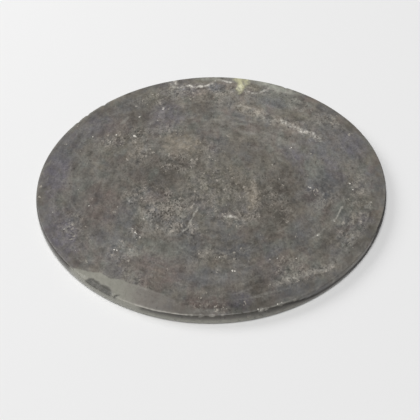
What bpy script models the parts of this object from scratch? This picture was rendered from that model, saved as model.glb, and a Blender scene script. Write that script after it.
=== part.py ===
"""Basalt massage stone: one thin disc of natural stone, ground by hand and lying flat.

Metres, +Z up. The origin is the middle of the flat underside.
"""

import math

import bmesh
import bpy
from mathutils import Matrix, Vector

MM = 0.001

# Driving dimensions
DIAMETER = 160 * MM
THICKNESS = 6 * MM

# Top face: a shallow crown that falls away from the middle to the arris
CROWN = 0.35 * MM
CROWN_RINGS = (0.25, 0.5, 0.7, 0.84, 0.93, 0.97)

# Rim: widest at mid-height, set back a little at the arris and slightly rounded under
ARRIS_SETBACK = 0.55 * MM
ARRIS_ROUND = 0.25 * MM
UNDER_ROUND = 1.2 * MM
UPPER_STEPS = 5
UNDER_STEPS = 8
BASE_RINGS = (0.66, 0.33)
SEGMENTS = 120

# Hand grinding leaves the outline out of round: lobes, height, direction of a lobe
LOBES = (
    (2, 0.25 * MM, -54),
    (3, 0.18 * MM, 41),
    (4, 0.25 * MM, 5),
)

# Flats re-ground across the top edge: direction, distance and height of the inner edge, slope
FACETS = (
    (244.3, 71.1 * MM, 5.72 * MM, 5.0),
    (233.0, 77.6 * MM, 5.26 * MM, 25.0),
)
FACET_CUTTER = (90 * MM, 30 * MM, 20 * MM)

# Bites out of the top edge: direction, radius of the bite, depth into the rim, depth into the face
CHIPS = (
    (271.5, 5.5 * MM, 0.6 * MM, 0.7 * MM),
    (283.4, 2.2 * MM, 0.9 * MM, 0.8 * MM),
    (289.5, 1.6 * MM, 0.6 * MM, 0.6 * MM),
)
CHIP_SUBDIVISIONS = 2

STONE_COLOUR = (0.155, 0.145, 0.132, 1.0)
STONE_ROUGHNESS = 0.5
SMOOTH_ANGLE = 35
WELD_DISTANCE = 0.001 * MM

RADIUS = DIAMETER / 2
WIDEST_HEIGHT = THICKNESS / 2
ARRIS_RADIUS = RADIUS - ARRIS_SETBACK
ARRIS_HEIGHT = THICKNESS - CROWN


def clear_scene():
    for scene_object in list(bpy.data.objects):
        bpy.data.objects.remove(scene_object, do_unlink=True)


def new_collection(name):
    collection = bpy.data.collections.new(name)
    bpy.context.scene.collection.children.link(collection)
    return collection


def stone_material():
    material = bpy.data.materials.new("basalt")
    material.use_nodes = True
    shader = material.node_tree.nodes["Principled BSDF"]
    shader.inputs["Base Color"].default_value = STONE_COLOUR
    shader.inputs["Roughness"].default_value = STONE_ROUGHNESS
    shader.inputs["Metallic"].default_value = 0.0
    return material


def top_height(radius):
    """Height of the crowned top face at a distance from the middle."""
    return THICKNESS - CROWN * (radius / ARRIS_RADIUS) ** 2


def quarter_arc(centre, across, up, start, end, steps):
    """Points of a quarter ellipse, its angle measured from the horizontal, without the first one."""
    points = []
    for step in range(1, steps + 1):
        angle = math.radians(start + (end - start) * step / steps)
        points.append((centre[0] + across * math.cos(angle), centre[1] + up * math.sin(angle)))
    return points


def stone_profile():
    """Half section from the middle of the top, over the rim, to the middle of the underside."""
    face_end = ARRIS_RADIUS - ARRIS_ROUND
    points = [(0.0, THICKNESS)]
    for share in CROWN_RINGS:
        points.append((share * ARRIS_RADIUS, top_height(share * ARRIS_RADIUS)))
    points.append((face_end, top_height(face_end)))
    points.append((ARRIS_RADIUS, ARRIS_HEIGHT - ARRIS_ROUND))
    upper_rise = (ARRIS_HEIGHT - ARRIS_ROUND) - WIDEST_HEIGHT
    points += quarter_arc((ARRIS_RADIUS, WIDEST_HEIGHT), ARRIS_SETBACK, upper_rise, 90, 0, UPPER_STEPS)
    base_radius = RADIUS - UNDER_ROUND
    points += quarter_arc((base_radius, WIDEST_HEIGHT), UNDER_ROUND, WIDEST_HEIGHT, 0, -90, UNDER_STEPS)
    points += [(share * base_radius, 0.0) for share in BASE_RINGS]
    points.append((0.0, 0.0))
    return points


def profile_mesh(points):
    mesh = bpy.data.meshes.new("stone_profile")
    corners = [(radius, 0.0, height) for radius, height in points]
    edges = [(index, index + 1) for index in range(len(points) - 1)]
    mesh.from_pydata(corners, edges, [])
    return mesh


def turn(profile, name, collection):
    """The profile turned once round the Z axis, as one closed mesh object."""
    lathe = bpy.data.objects.new("lathe", profile)
    collection.objects.link(lathe)
    screw = lathe.modifiers.new("turn", "SCREW")
    screw.axis = "Z"
    screw.angle = math.radians(360)
    screw.steps = SEGMENTS
    screw.render_steps = SEGMENTS
    screw.use_merge_vertices = True
    screw.merge_threshold = WELD_DISTANCE
    evaluated = lathe.evaluated_get(bpy.context.evaluated_depsgraph_get())
    mesh = bpy.data.meshes.new_from_object(evaluated)
    mesh.name = name
    bpy.data.objects.remove(lathe, do_unlink=True)
    turned = bpy.data.objects.new(name, mesh)
    collection.objects.link(turned)
    return turned


def rim_growth(angle):
    """How far the rim strays from a true circle in this direction."""
    return sum(
        height * math.cos(lobes * (angle - math.radians(direction)))
        for lobes, height, direction in LOBES
    )


def grind_out_of_round(mesh):
    """Pushes each ring out or in by the rim's lobes, less and less towards the middle."""
    for vertex in mesh.vertices:
        radius = math.hypot(vertex.co.x, vertex.co.y)
        angle = math.atan2(vertex.co.y, vertex.co.x)
        scale = 1 + rim_growth(angle) / RADIUS
        vertex.co.x = radius * scale * math.cos(angle)
        vertex.co.y = radius * scale * math.sin(angle)


def centre_on_origin(mesh):
    """Moves the stone sideways until its bounding box is centred on the Z axis."""
    across = [vertex.co.x for vertex in mesh.vertices]
    along = [vertex.co.y for vertex in mesh.vertices]
    shift = Vector(((min(across) + max(across)) / 2, (min(along) + max(along)) / 2, 0))
    mesh.transform(Matrix.Translation(-shift))


def weld(mesh):
    stone = bmesh.new()
    stone.from_mesh(mesh)
    bmesh.ops.remove_doubles(stone, verts=stone.verts, dist=WELD_DISTANCE)
    stone.to_mesh(mesh)
    stone.free()


def cutter_object(name, maker, matrix, collection):
    shape = bmesh.new()
    maker(shape)
    shape.transform(matrix)
    mesh = bpy.data.meshes.new(name)
    shape.to_mesh(mesh)
    shape.free()
    cutter = bpy.data.objects.new(name, mesh)
    cutter.hide_render = True
    cutter.display_type = "WIRE"
    collection.objects.link(cutter)
    return cutter


def facet_cutter(number, direction, inner_edge, inner_height, slope, collection):
    """A block whose underside is the plane of a re-ground flat."""
    length, depth, height = FACET_CUTTER

    def block(shape):
        bmesh.ops.create_cube(shape, size=1.0, matrix=Matrix.Diagonal((length, depth, height, 1)))

    matrix = (
        Matrix.Rotation(math.radians(direction - 90), 4, "Z")
        @ Matrix.Translation((0, inner_edge, inner_height))
        @ Matrix.Rotation(math.radians(-slope), 4, "X")
        @ Matrix.Translation((0, 0, height / 2))
    )
    return cutter_object(f"facet_cutter_{number}", block, matrix, collection)


def chip_cutter(number, direction, bite, into_rim, into_face, collection):
    """A small rough ball that bites the top edge by the depths given."""

    def ball(shape):
        bmesh.ops.create_icosphere(shape, subdivisions=CHIP_SUBDIVISIONS, radius=bite)

    angle = math.radians(direction)
    reach = ARRIS_RADIUS + rim_growth(angle) - into_rim + bite * math.sqrt(0.5)
    height = ARRIS_HEIGHT - into_face + bite * math.sqrt(0.5)
    matrix = Matrix.Translation((reach * math.cos(angle), reach * math.sin(angle), height))
    matrix = matrix @ Matrix.Rotation(angle, 4, "Z")
    return cutter_object(f"chip_cutter_{number}", ball, matrix, collection)


def cut(body, cutter):
    boolean = body.modifiers.new(cutter.name, "BOOLEAN")
    boolean.operation = "DIFFERENCE"
    boolean.solver = "EXACT"
    boolean.object = cutter


def make_stone(parts, cutters):
    stone = turn(profile_mesh(stone_profile()), "stone_disc", parts)
    weld(stone.data)
    grind_out_of_round(stone.data)
    centre_on_origin(stone.data)
    stone.data.materials.append(stone_material())
    stone.data.shade_smooth()
    stone.data.set_sharp_from_angle(angle=math.radians(SMOOTH_ANGLE))
    for number, (direction, inner_edge, inner_height, slope) in enumerate(FACETS, start=1):
        cut(stone, facet_cutter(number, direction, inner_edge, inner_height, slope, cutters))
    for number, (direction, bite, into_rim, into_face) in enumerate(CHIPS, start=1):
        cut(stone, chip_cutter(number, direction, bite, into_rim, into_face, cutters))
    return stone


def main():
    clear_scene()
    parts = new_collection("basalt_massage_stone")
    cutters = new_collection("cutters")
    make_stone(parts, cutters)


main()
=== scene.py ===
"""Basalt massage stone: the finished look of one hand-ground disc, and its plain studio.

Metres, +Z up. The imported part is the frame: the stone is rebuilt finely inside its solid.
"""

import math

import bmesh
import bpy
import numpy as np
from bpy.props import FloatProperty, FloatVectorProperty, IntProperty, PointerProperty
from bpy.types import Operator, Panel, PropertyGroup
from mathutils import Matrix, Vector, noise


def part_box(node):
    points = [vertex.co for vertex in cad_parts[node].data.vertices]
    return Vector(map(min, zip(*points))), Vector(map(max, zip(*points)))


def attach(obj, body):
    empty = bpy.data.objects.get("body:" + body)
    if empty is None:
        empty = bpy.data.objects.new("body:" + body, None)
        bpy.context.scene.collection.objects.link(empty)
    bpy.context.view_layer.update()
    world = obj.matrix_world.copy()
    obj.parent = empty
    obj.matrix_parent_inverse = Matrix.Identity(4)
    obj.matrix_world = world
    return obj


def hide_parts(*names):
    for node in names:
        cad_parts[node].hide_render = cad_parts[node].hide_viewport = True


bl_info = {
    "name": "Basalt Massage Stone",
    "version": (1, 0, 0),
    "blender": (4, 5, 0),
    "location": "View3D > Sidebar > Stone",
    "description": "Builds a hand-ground massage stone around the packed part, with a plain studio",
    "category": "Object",
}

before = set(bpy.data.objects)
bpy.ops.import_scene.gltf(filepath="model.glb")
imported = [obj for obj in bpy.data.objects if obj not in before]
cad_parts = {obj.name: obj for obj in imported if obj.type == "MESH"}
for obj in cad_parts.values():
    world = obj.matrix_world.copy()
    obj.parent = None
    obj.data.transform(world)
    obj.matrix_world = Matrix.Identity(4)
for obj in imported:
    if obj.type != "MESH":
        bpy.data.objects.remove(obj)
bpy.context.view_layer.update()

MM = 0.001
NODE = "stone_disc"
BODY = "root"

STONE_LOW, STONE_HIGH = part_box(NODE)
THICKNESS = STONE_HIGH.z - STONE_LOW.z

# The ground shape: the sizes of the solid, with a slightly crisper top edge
RADIUS = 80 * MM
CROWN = 0.35 * MM
ARRIS_SETBACK = 0.55 * MM
ARRIS_ROUND = 0.22 * MM
UNDER_ROUND = 1.2 * MM
ARRIS_RADIUS = RADIUS - ARRIS_SETBACK
ARRIS_HEIGHT = THICKNESS - CROWN
WIDEST_HEIGHT = THICKNESS / 2
LOBES = (
    (2, 0.25 * MM, -54),
    (3, 0.18 * MM, 41),
    (4, 0.25 * MM, 5),
)

# Re-ground flats: direction, distance and height of the inner edge, slope
FACETS = (
    (244.3, 71.1 * MM, 5.72 * MM, 5.0),
    (233.0, 77.6 * MM, 5.26 * MM, 25.0),
)

# The uneven inner edge of the first flat, from left to right (mm)
FLAT_EDGE = (
    (-66, -46.5), (-62, -49.5), (-57.2, -51.3), (-50.6, -54.1), (-47.2, -54.7),
    (-43.5, -57.8), (-38.5, -58.7), (-34.8, -60.9), (-30.4, -63), (-23, -66.5),
    (-16.2, -70.2), (-13, -73), (-7.5, -74.8),
)

# Bites in the top edge: direction, then radius, depth into the rim and into the face (mm)
CHIPS = (
    (262.8, 1.4, 0.2, 0.25), (266.0, 2.4, 0.3, 0.4), (269.0, 1.8, 0.35, 0.35),
    (272.0, 1.2, 0.2, 0.2), (283.3, 1.3, 0.5, 0.5), (284.8, 0.9, 0.35, 0.4),
    (289.5, 1.1, 0.45, 0.45), (294.0, 0.9, 0.2, 0.25), (302.0, 1.8, 0.2, 0.25),
    (131.0, 2.4, 0.35, 0.4), (139.0, 1.7, 0.3, 0.4), (143.5, 2.4, 0.4, 0.45),
    (147.0, 1.5, 0.3, 0.3), (60.0, 1.6, 0.3, 0.3), (22.0, 1.4, 0.25, 0.3),
)

# Along the flat from left to right (mm): where it turns pink, and each start, end and fading
FLAT_PINK = (-42, -26)
FLAT_FADES = ((-36, -26, 0.45), (-24, -8, 0.35))
FLAT_STRENGTH = 0.9

# Stretches of the rim as directions in degrees: start, end, softness
STRETCHES = {
    "painted shade set lower": (302, 324, 12),
    "darkest side": (290, 344, 14),
    "pale front": (224, 275, 6),
    "dark right": (318, 368, 12),
    "dark to the base": (322, 362, 10),
    "dark line": (294, 346, 10),
    "freshly ground": (221, 246, 2.5),
    "worn front": (240, 263, 3),
    "worn right": (285, 292, 2),
    "worn back": (124, 150, 6),
    "clean flat": (200, 239, 3),
    "whitest front": (244, 260, 3),
    "large bite": (282, 286, 1),
    "broken front": (261, 272, 1),
}

# Colours of the rock, as linear reflectance; dark and shadow also serve as painted shade on the rim
ROCK = {
    "tan": (0.215, 0.189, 0.152),
    "olive": (0.162, 0.150, 0.120),
    "umber": (0.120, 0.105, 0.088),
    "rust": (0.160, 0.126, 0.112),
    "mauve": (0.144, 0.134, 0.152),
    "slate": (0.137, 0.139, 0.145),
    "sage": (0.174, 0.181, 0.160),
    "ash": (0.260, 0.250, 0.226),
    "chalk": (0.42, 0.405, 0.36),
    "white": (0.78, 0.75, 0.68),
    "haze": (0.345, 0.35, 0.305),
    "cream": (0.62, 0.60, 0.38),
    "butter": (0.86, 0.84, 0.60),
    "ground": (0.345, 0.338, 0.290),
    "ground_pink": (0.260, 0.238, 0.218),
    "dark": (0.060, 0.054, 0.046),
    "shadow": (0.030, 0.027, 0.024),
    "island": (0.100, 0.097, 0.084),
}

# Slow drift between colours: colour, size (mm), strength, place in the noise
DRIFT = (
    ("mauve", 17, 0.5, 3.0),
    ("olive", 15, 0.5, 31.0),
    ("slate", 9, 0.45, 57.0),
    ("rust", 7, 0.45, 83.0),
    ("sage", 6, 0.5, 107.0),
    ("umber", 5, 0.5, 131.0),
    ("tan", 4, 0.35, 157.0),
)

# Patches: colour, centre x and y, half length, half width, turn, strength (mm and degrees)
PATCHES = (
    # The first two mauve patches, along the left edge, are partly a painted bluish reflection of the
    # light from the left
    ("mauve", -72, 8, 16, 5.5, 88, 0.85), ("mauve", -66, -30, 17, 7, -68, 0.8),
    ("slate", -66, 30, 13, 6, 70, 0.55), ("sage", -60, 8, 15, 3.5, 88, 0.4),
    ("rust", -49, -14, 14, 9, 80, 0.6), ("slate", -38, -20, 9, 5, 80, 0.55),
    ("umber", -33, 11, 11, 9, 60, 0.4), ("mauve", -53, 43, 9, 8, 40, 0.5),
    ("rust", -45, 40, 12, 6, 45, 0.4), ("umber", -34, 47, 8, 6, 90, 0.55),
    ("olive", -28, 64, 11, 8, 20, 0.55), ("slate", -40, 58, 9, 6, 35, 0.5),
    ("mauve", -21, 49, 12, 8, 80, 0.55), ("umber", -3, 57, 11, 6, 85, 0.65),
    ("tan", -3, 61, 6, 2.5, 80, 0.4), ("rust", -8, 68, 6, 4, 10, 0.5),
    ("slate", -11, 68, 5, 4, 0, 0.6), ("olive", 1, 77, 9, 2.5, 5, 0.7),
    ("slate", 5, 70, 4, 4, 0, 0.6), ("tan", -12, 26, 10, 8, -30, 0.9),
    ("tan", -35, 24, 8, 3, 75, 0.6), ("tan", -45, 34, 5, 3.5, 0, 0.45),
    ("umber", -24, 4, 9, 9, 0, 0.75), ("sage", -27, 5, 4.5, 2.2, 75, 0.7),
    ("umber", -14, 12, 6, 5, 20, 0.6), ("rust", -25, -10, 7, 4, 10, 0.55),
    ("umber", -19.5, -19.5, 5, 3, 80, 0.95), ("olive", 8, -2, 22, 17, -20, 0.6),
    ("tan", 18.5, -12, 11, 2.8, 86, 0.85), ("tan", 13, 2, 10, 3, 115, 0.45),
    ("umber", 30, -15, 22, 9, 75, 0.75), ("umber", 17, 24, 11, 6, -30, 0.5),
    ("ash", 29, 30, 17, 3.5, -38, 0.45), ("mauve", 38, 16, 8, 4, -60, 0.5),
    ("sage", 49, 4, 10, 4.5, 95, 0.75), ("mauve", 58, 4, 9, 4, 100, 0.5),
    ("slate", 60, 24, 16, 11, -60, 0.55), ("mauve", 68, 22, 10, 5, 105, 0.5),
    ("olive", 41, 46, 11, 4, -25, 0.6), ("sage", 36, 59, 10, 6, -25, 0.8),
    ("slate", 33, 56, 7, 4, -20, 0.6), ("tan", 22, 50, 9, 4, -30, 0.55),
    ("rust", 22, 37, 5, 3, -30, 0.6), ("umber", 16, 38, 2, 2, 0, 0.8),
    ("ash", 14, 41, 8, 1.2, 5, 0.4), ("haze", 35, 69.8, 12.5, 3.0, -28, 0.95),
    ("haze", 20, 77, 12, 1.6, -14, 0.8), ("haze", 4, 78, 9, 1.4, 0, 0.5),
    ("olive", 24, 69.5, 4.5, 3, -20, 0.85), ("rust", 55, 58, 5, 3, -45, 0.5),
    ("slate", 50, -8, 12, 7, 60, 0.6), ("rust", 45, -13, 5, 3, 40, 0.5),
    ("sage", 60, -22, 10, 6, 60, 0.55), ("tan", 66, -22, 10, 2.5, 62, 0.5),
    ("ash", 70, -3, 9, 2.4, 92, 0.55), ("slate", 40, -33, 9, 6, 50, 0.45),
    ("umber", 50, -40, 9, 2, 45, 0.6), ("ash", 37, -59.5, 11, 1.6, 14, 0.5),
    ("ash", 51, -52, 11, 1.6, 48, 0.45), ("tan", 30, -50, 6, 4, 20, 0.5),
    ("rust", 24, -55, 9, 5, 30, 0.45), ("umber", 18, -66, 9, 4.5, 95, 0.85),
    ("slate", 31, -68, 9, 4, 20, 0.5), ("sage", 28, -42, 8, 3, 10, 0.4),
    ("slate", 10, -45, 7, 5, 0, 0.8), ("tan", 0, -50, 8, 3.5, 10, 0.5),
    ("slate", -10, -42, 9, 5, 75, 0.6), ("sage", -20, -42, 9, 5, -20, 0.6),
    ("sage", -35, -43, 5, 2, -25, 0.75), ("slate", -44, -38, 12, 6, -50, 0.5),
    ("rust", -23, -55, 13, 8, -10, 0.6), ("tan", -24, -57, 4, 4, 0, 0.3),
    ("slate", -2, -60, 12, 4.5, -5, 0.55), ("rust", -2, -73, 9, 3.5, 3, 0.9),
    ("mauve", 10, -72, 6, 4, 10, 0.6), ("umber", 2, -66, 8, 3, 0, 0.4),
)

# Lighter and darker zones: centre x and y, half length, half width, turn, gain
TONES = (
    (30, 42, 40, 20, -38, 0.22), (2, 70, 32, 9, 0, 0.26), (-18, 50, 12, 12, 0, 0.15),
    (-15, 27, 8, 6, -20, 0.34), (18.5, -13, 12, 2.6, 86, 0.26), (31, -14, 17, 6, 82, -0.13),
    (-19.9, -19.9, 3.2, 2, 80, -0.4), (-24, 4, 9, 8, 0, -0.13), (-37, 49, 8, 6, 0, -0.12),
    (-3, 57, 9, 6, 85, -0.1), (50, -40, 9, 2, 45, -0.15), (18, -66, 8, 4, 95, -0.12),
    (-44, 8, 9, 6, 80, -0.08), (62, -46, 14, 5, 50, -0.12), (42, -66, 16, 4, 25, -0.1),
    (25, 49, 10, 6, -30, 0.15), (2, 4, 12, 12, 0, 0.1), (-56, 20, 9, 16, 0, -0.1),
    (-62, -10, 14, 12, 0, -0.1), (-48, -24, 7, 8, 0, -0.07), (55, -12, 8, 12, 0, -0.14),
    (5, -74, 20, 6, 0, -0.25), (9, -43, 14, 8, 0, -0.18), (26, -60, 10, 8, 0, -0.12),
    (24, -36, 9, 6, 0, -0.1), (-36, -45, 14, 8, -20, 0.14),
)

# The fabric of the rock is drawn out front to back: how each axis is squeezed for its noise
DRAWN_OUT = (1.0, 0.7, 1.0)

# Sizes of the lumps in the noises that shape and colour the stone
ROUGH_LUMPS = 1.3 * MM
WAVES = 26 * MM
RAGGED_LUMPS = 2.2 * MM
BROAD_LUMPS = 5.5 * MM
CRUMBS = 1.3 * MM

# Bands of flow round the middle: length and width (mm), place in the noise
FLOW_BANDS = (15, 2.4, 211.0)
THIN_FLOW_BANDS = (9, 1.3, 241.0)
FLOW_CONTRAST = 0.22
BROAD_CONTRAST = 0.17
RAGGED_CONTRAST = 0.08
BANDS_START = 16 * MM
BANDS_FULL = 40 * MM

# How far patches and veins fade on the side, and how patchy veins are for their width
SIDE_FADE = 0.6
VEIN_GAPS = 0.42

# Towards the rim the top face is rubbed smoother, between these distances from the middle
RUBBED_START = 73 * MM
RUBBED_FULL = 77 * MM

# Veins: colour, half width, strength, points along it (mm)
VEINS = (
    ("white", 1.1, 0.9, ((-16.4, 78), (-16.8, 75), (-16.9, 72.5))),
    ("chalk", 0.5, 0.8, ((-16.9, 72.5), (-17.9, 70), (-17.6, 66.6))),
    ("white", 0.6, 0.9,
     ((-16.4, 71.5), (-13.5, 71.6), (-11.2, 73.2), (-9, 73.4), (-6.2, 71.8), (-3.5, 72.2))),
    ("white", 0.55, 0.8,
     ((-3.5, 72.2), (-1, 72), (2, 73.6), (4, 76), (7, 76.7), (10, 75.4), (12, 74.5))),
    ("ash", 0.5, 0.6, ((-17.6, 66.6), (-17.2, 64), (-15.6, 63.2))),
    ("ash", 0.6, 0.7, ((-20.6, 73), (-19.6, 76.6))),
    ("white", 0.45, 0.6,
     ((20.9, 66.6), (21.6, 65), (24.4, 64.4), (27, 65), (28.8, 66.6), (31.1, 68.3))),
    ("chalk", 0.6, 0.6, ((31.1, 68.3), (34.5, 67.2), (38.6, 65.2), (41.4, 64.7), (43.2, 66.8))),
    ("ash", 0.3, 0.6, ((19.6, 65.3), (18.8, 61), (18.9, 56.3))),
    ("chalk", 1.5, 0.75,
     ((13.8, 54.4), (18.9, 51.2), (24, 49.2), (26, 44), (31, 42), (36.3, 40.9))),
    ("white", 1.0, 0.75, ((36.3, 40.9), (40.8, 37), (44.6, 33.2), (49.8, 30.6), (52.3, 26.7))),
    ("chalk", 0.24, 0.9, ((57.8, -20.2), (56.3, -23.2), (55.1, -26.6), (53.3, -29.6))),
    ("ash", 0.35, 0.7, ((53.3, -29.6), (51.4, -31.2), (48, -34.6), (45.3, -37.2), (42.2, -39.3))),
    ("chalk", 0.4, 0.5, ((46.2, -36.4), (44.8, -37.6))),
    ("ash", 0.45, 0.8, ((71, -17.8), (68.4, -21), (65.8, -24.8))),
    ("ash", 0.4, 0.45, ((65.4, -29.6), (60.4, -34.4), (57.4, -38.4), (54.7, -41.4))),
    ("ash", 0.5, 0.45, ((60.9, -41.6), (56.5, -45.9), (53, -51.2))),
    ("ash", 0.6, 0.7,
     ((28.8, -60.4), (31.9, -61.8), (37.4, -60), (42.4, -57.6), (48.4, -55), (52.6, -51.6))),
    ("chalk", 0.6, 0.8, ((29.4, -61.2), (32, -62), (34.5, -61.2))),
    ("chalk", 0.35, 0.8, ((63.5, -5), (64, -7.4), (64.5, -10))),
    ("ash", 0.3, 0.45, ((44.9, 11.6), (46.8, 7.6), (47.6, 3))),
    ("chalk", 0.27, 0.9, ((-6.2, -17.8), (-8.5, -24.6), (-10.6, -30.2), (-12.9, -32.4))),
    ("white", 0.5, 0.9, ((6, -23.8), (8, -24.2), (10.2, -24.7))),
    ("ash", 0.5, 0.4, ((2.6, -23.4), (6, -23.8))),
    ("chalk", 0.35, 0.6, ((-34.6, -61.6), (-31.2, -62.6), (-29, -64.1), (-27.4, -65.1))),
    ("ash", 0.8, 0.7, ((-9, -77.4), (-5.5, -76.6), (-1.5, -77.2), (2.5, -77.8))),
    ("ash", 0.3, 0.5, ((-37.8, -7), (-37.4, -11.4), (-34.6, -13.4), (-33, -15.2))),
    ("ash", 0.3, 0.5, ((-23.8, -29), (-20.6, -30.6), (-18, -27.6), (-16.2, -31))),
    ("ash", 0.25, 0.5, ((-31.6, -22.4), (-27, -25.4), (-23.8, -29))),
    ("ash", 0.3, 0.35, ((5.2, 43), (8.4, 44), (12, 43.2), (13.4, 40.8))),
    ("ash", 0.3, 0.35, ((5.4, 39.6), (9, 41), (12.2, 39.6))),
    ("ash", 0.3, 0.35, ((66.6, 1.8), (67.4, -4.4), (66, -12), (62.6, -18.6))),
    ("umber", 0.3, 0.5, ((-42.6, -44.6), (-40.8, -43.2), (-39.4, -41.2))),
    ("umber", 0.25, 0.5, ((-50.6, -54.6), (-47.4, -55.4), (-43.6, -58.2), (-38.6, -59.4))),
)

# Grainy zones with pale minerals: centre x and y, half length, half width, turn, strength
DUSTED = (
    (17, 53.5, 6, 3, -35, 0.9), (24, 48, 7, 3, -30, 0.9), (36, 41, 10, 2.6, -12, 0.95),
    (46.5, 33, 9, 2.8, -42, 1.0), (-36, 35, 6, 4.5, 10, 1.0), (-46, 31, 8, 4.5, 25, 0.85),
    (-33, 22, 9, 5, 75, 0.6), (-20.5, -19, 13, 10, 75, 1.0), (-14, -29, 10, 5, -25, 0.8),
    (-33.4, -32, 4, 2.4, -55, 1.0), (-33, -7, 8, 6, 60, 0.6), (18.5, -13, 14, 4.5, 86, 0.8),
    (12, -24, 9, 5, 0, 0.85), (4, -6, 17, 16, 0, 0.55), (-14, 13, 9, 7, 20, 0.75),
    (-20, 37, 8, 5, 0, 0.5), (-2, 20, 8, 8, 0, 0.5), (30, -13, 6, 14, 5, 0.45),
    (49, -13, 7, 7, 0, 0.45), (62, -33, 13, 5, 55, 0.6), (66, -12, 12, 4, 78, 0.5),
    (0, -47, 9, 4, 0, 0.5), (31, -55, 8, 5, 20, 0.5), (38, -60, 13, 2.8, 18, 0.85),
    (45, 55, 6, 5, -40, 0.5), (58, 42, 9, 6, -50, 0.5), (-13, 69, 9, 7, 0, 0.95),
    (4, 66, 11, 8, 0, 0.7), (24, 66, 7, 6, 0, 0.6), (-28, 62, 9, 5, 20, 0.45),
    (-38, -43, 7, 5, -20, 0.55), (-33, -58, 8, 4, -30, 0.4), (-60, -28, 6, 12, 20, 0.35),
    (-2, -76, 10, 2.5, 0, 0.9),
)

# Single bright minerals: x, y, radius (mm)
CRYSTALS = (
    (-36.2, 34.1, 1.0), (-35.5, 33.4, 0.6), (-34, 48.6, 0.55), (-22.2, 54.9, 0.5),
    (-22.4, 53.8, 0.4), (-56.3, 34.5, 0.4), (-27.8, 66.5, 0.35), (-24.9, 45.4, 0.3),
    (45.2, -7.2, 0.62), (44.4, -6.7, 0.4), (38.9, 21.1, 0.42), (38.2, 20.5, 0.3),
    (63.4, -5.3, 0.4), (64.2, -9.3, 0.35), (7.8, -56.2, 0.6), (8.8, -56.5, 0.45),
    (2.6, -48.2, 0.4), (-7.8, -15.3, 0.35), (-42.3, -41.6, 0.55), (-41.2, -42, 0.4),
    (-30.2, -23.3, 0.5), (-37, -11.8, 0.4), (-55, -13.8, 0.5), (-34.8, -29.3, 0.4),
    (-33.6, -31.8, 0.5), (-33, -32.6, 0.4), (-31.5, -34.6, 0.4), (-65, -28, 0.3),
    (-71, -17, 0.3), (71.2, -17.9, 0.4), (53.6, -29.2, 0.45), (45.3, -37.3, 0.4),
    (35, -50.4, 0.35), (27, -50, 0.45), (17.3, -77.4, 0.45), (18.4, -77.4, 0.5),
    (25.3, -75.1, 0.35), (27.1, -74.2, 0.3), (60.6, 42.6, 0.3), (43.6, 51.4, 0.3),
    (-47.6, 30.2, 0.45), (-45, 35.2, 0.5), (29, 9.2, 0.25), (-60.6, -3, 0.25),
    (-14, -11, 0.3),
)

# The cream mineral at the far edge, from its dull outer zone to its bright heart
CREAM_PATCHES = (
    ("ash", 18, 76, 10, 2.6, -8, 0.75),
    ("cream", 18.2, 77, 4.6, 2.2, 0, 0.75),
    ("cream", 18, 73.5, 4.2, 2.6, 85, 0.75),
    ("cream", 16.8, 69.8, 4.6, 2.1, 82, 0.9),
    ("butter", 16.5, 69.6, 2.6, 1.5, 85, 1.0),
    ("butter", 19, 72.5, 1.4, 1.0, 0, 0.6),
    ("cream", 16.2, 65.6, 1.6, 0.6, 90, 0.7),
)

# An island of old skin left low in the re-ground flat
ISLAND = (
    (-50.0, -60.2, 4.6, 2.5, -38, 0.95),
    (-45.4, -63.6, 4.2, 2.4, -38, 0.95),
    (-40.8, -66.7, 2.2, 0.5, 5, 0.8),
)
ISLAND_DEPTH = 0.14 * MM
ISLAND_GLINT = ("ash", 0.3, 0.8, ((-48.5, -62.9), (-45.6, -64.5)))


class StoneShape(PropertyGroup):
    spacing: FloatProperty(
        name="Point spacing", description="Distance between the points of the top face",
        default=0.53 * MM, min=0.3 * MM, max=3 * MM, unit="LENGTH", precision=5,
    )
    waviness: FloatProperty(
        name="Waviness", description="Depth of the slow unevenness that hand grinding leaves",
        default=0.07 * MM, min=0, max=0.5 * MM, unit="LENGTH", precision=5,
    )
    skin_relief: FloatProperty(
        name="Skin relief", description="Height of the fine relief of the worn skin",
        default=0.035 * MM, min=0, max=0.3 * MM, unit="LENGTH", precision=5,
    )
    pit_depth: FloatProperty(
        name="Pit depth", description="Depth of the largest pits",
        default=0.11 * MM, min=0, max=0.5 * MM, unit="LENGTH", precision=5,
    )
    pit_size: FloatProperty(
        name="Pit spacing", description="Distance between neighbouring pits",
        default=2.4 * MM, min=0.5 * MM, max=20 * MM, unit="LENGTH", precision=5,
    )
    grain_density: FloatProperty(
        name="Mineral density", description="Small pale minerals on each square metre of dusted face",
        default=160000, min=0,
    )
    grain_size: FloatProperty(
        name="Mineral size", description="Largest radius of a small pale mineral",
        default=0.3 * MM, min=0.05 * MM, max=2 * MM, unit="LENGTH", precision=5,
    )
    seed: IntProperty(
        name="Seed", description="Chooses where small minerals lie", default=7, min=0,
    )


class StoneFinish(PropertyGroup):
    rock: FloatVectorProperty(
        name="Rock", description="Main colour of the rock", subtype="COLOR", size=3,
        default=(0.186, 0.175, 0.157), min=0, max=1,
    )
    mineral: FloatVectorProperty(
        name="Mineral", description="Colour of the small pale minerals", subtype="COLOR", size=3,
        default=(0.42, 0.385, 0.335), min=0, max=1,
    )
    crystal: FloatVectorProperty(
        name="Crystal", description="Colour of the single bright minerals", subtype="COLOR", size=3,
        default=(0.66, 0.63, 0.57), min=0, max=1,
    )
    tone: FloatProperty(
        name="Tone", description="Lightness of the whole rock", default=0.87, min=0, max=2,
    )
    roughness: FloatProperty(
        name="Roughness", description="Roughness of the honed skin",
        default=0.42, min=0, max=1, subtype="FACTOR",
    )
    mottle: FloatProperty(
        name="Mottle", description="Strength of the fine mottling",
        default=1.0, min=0, max=3,
    )


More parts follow.
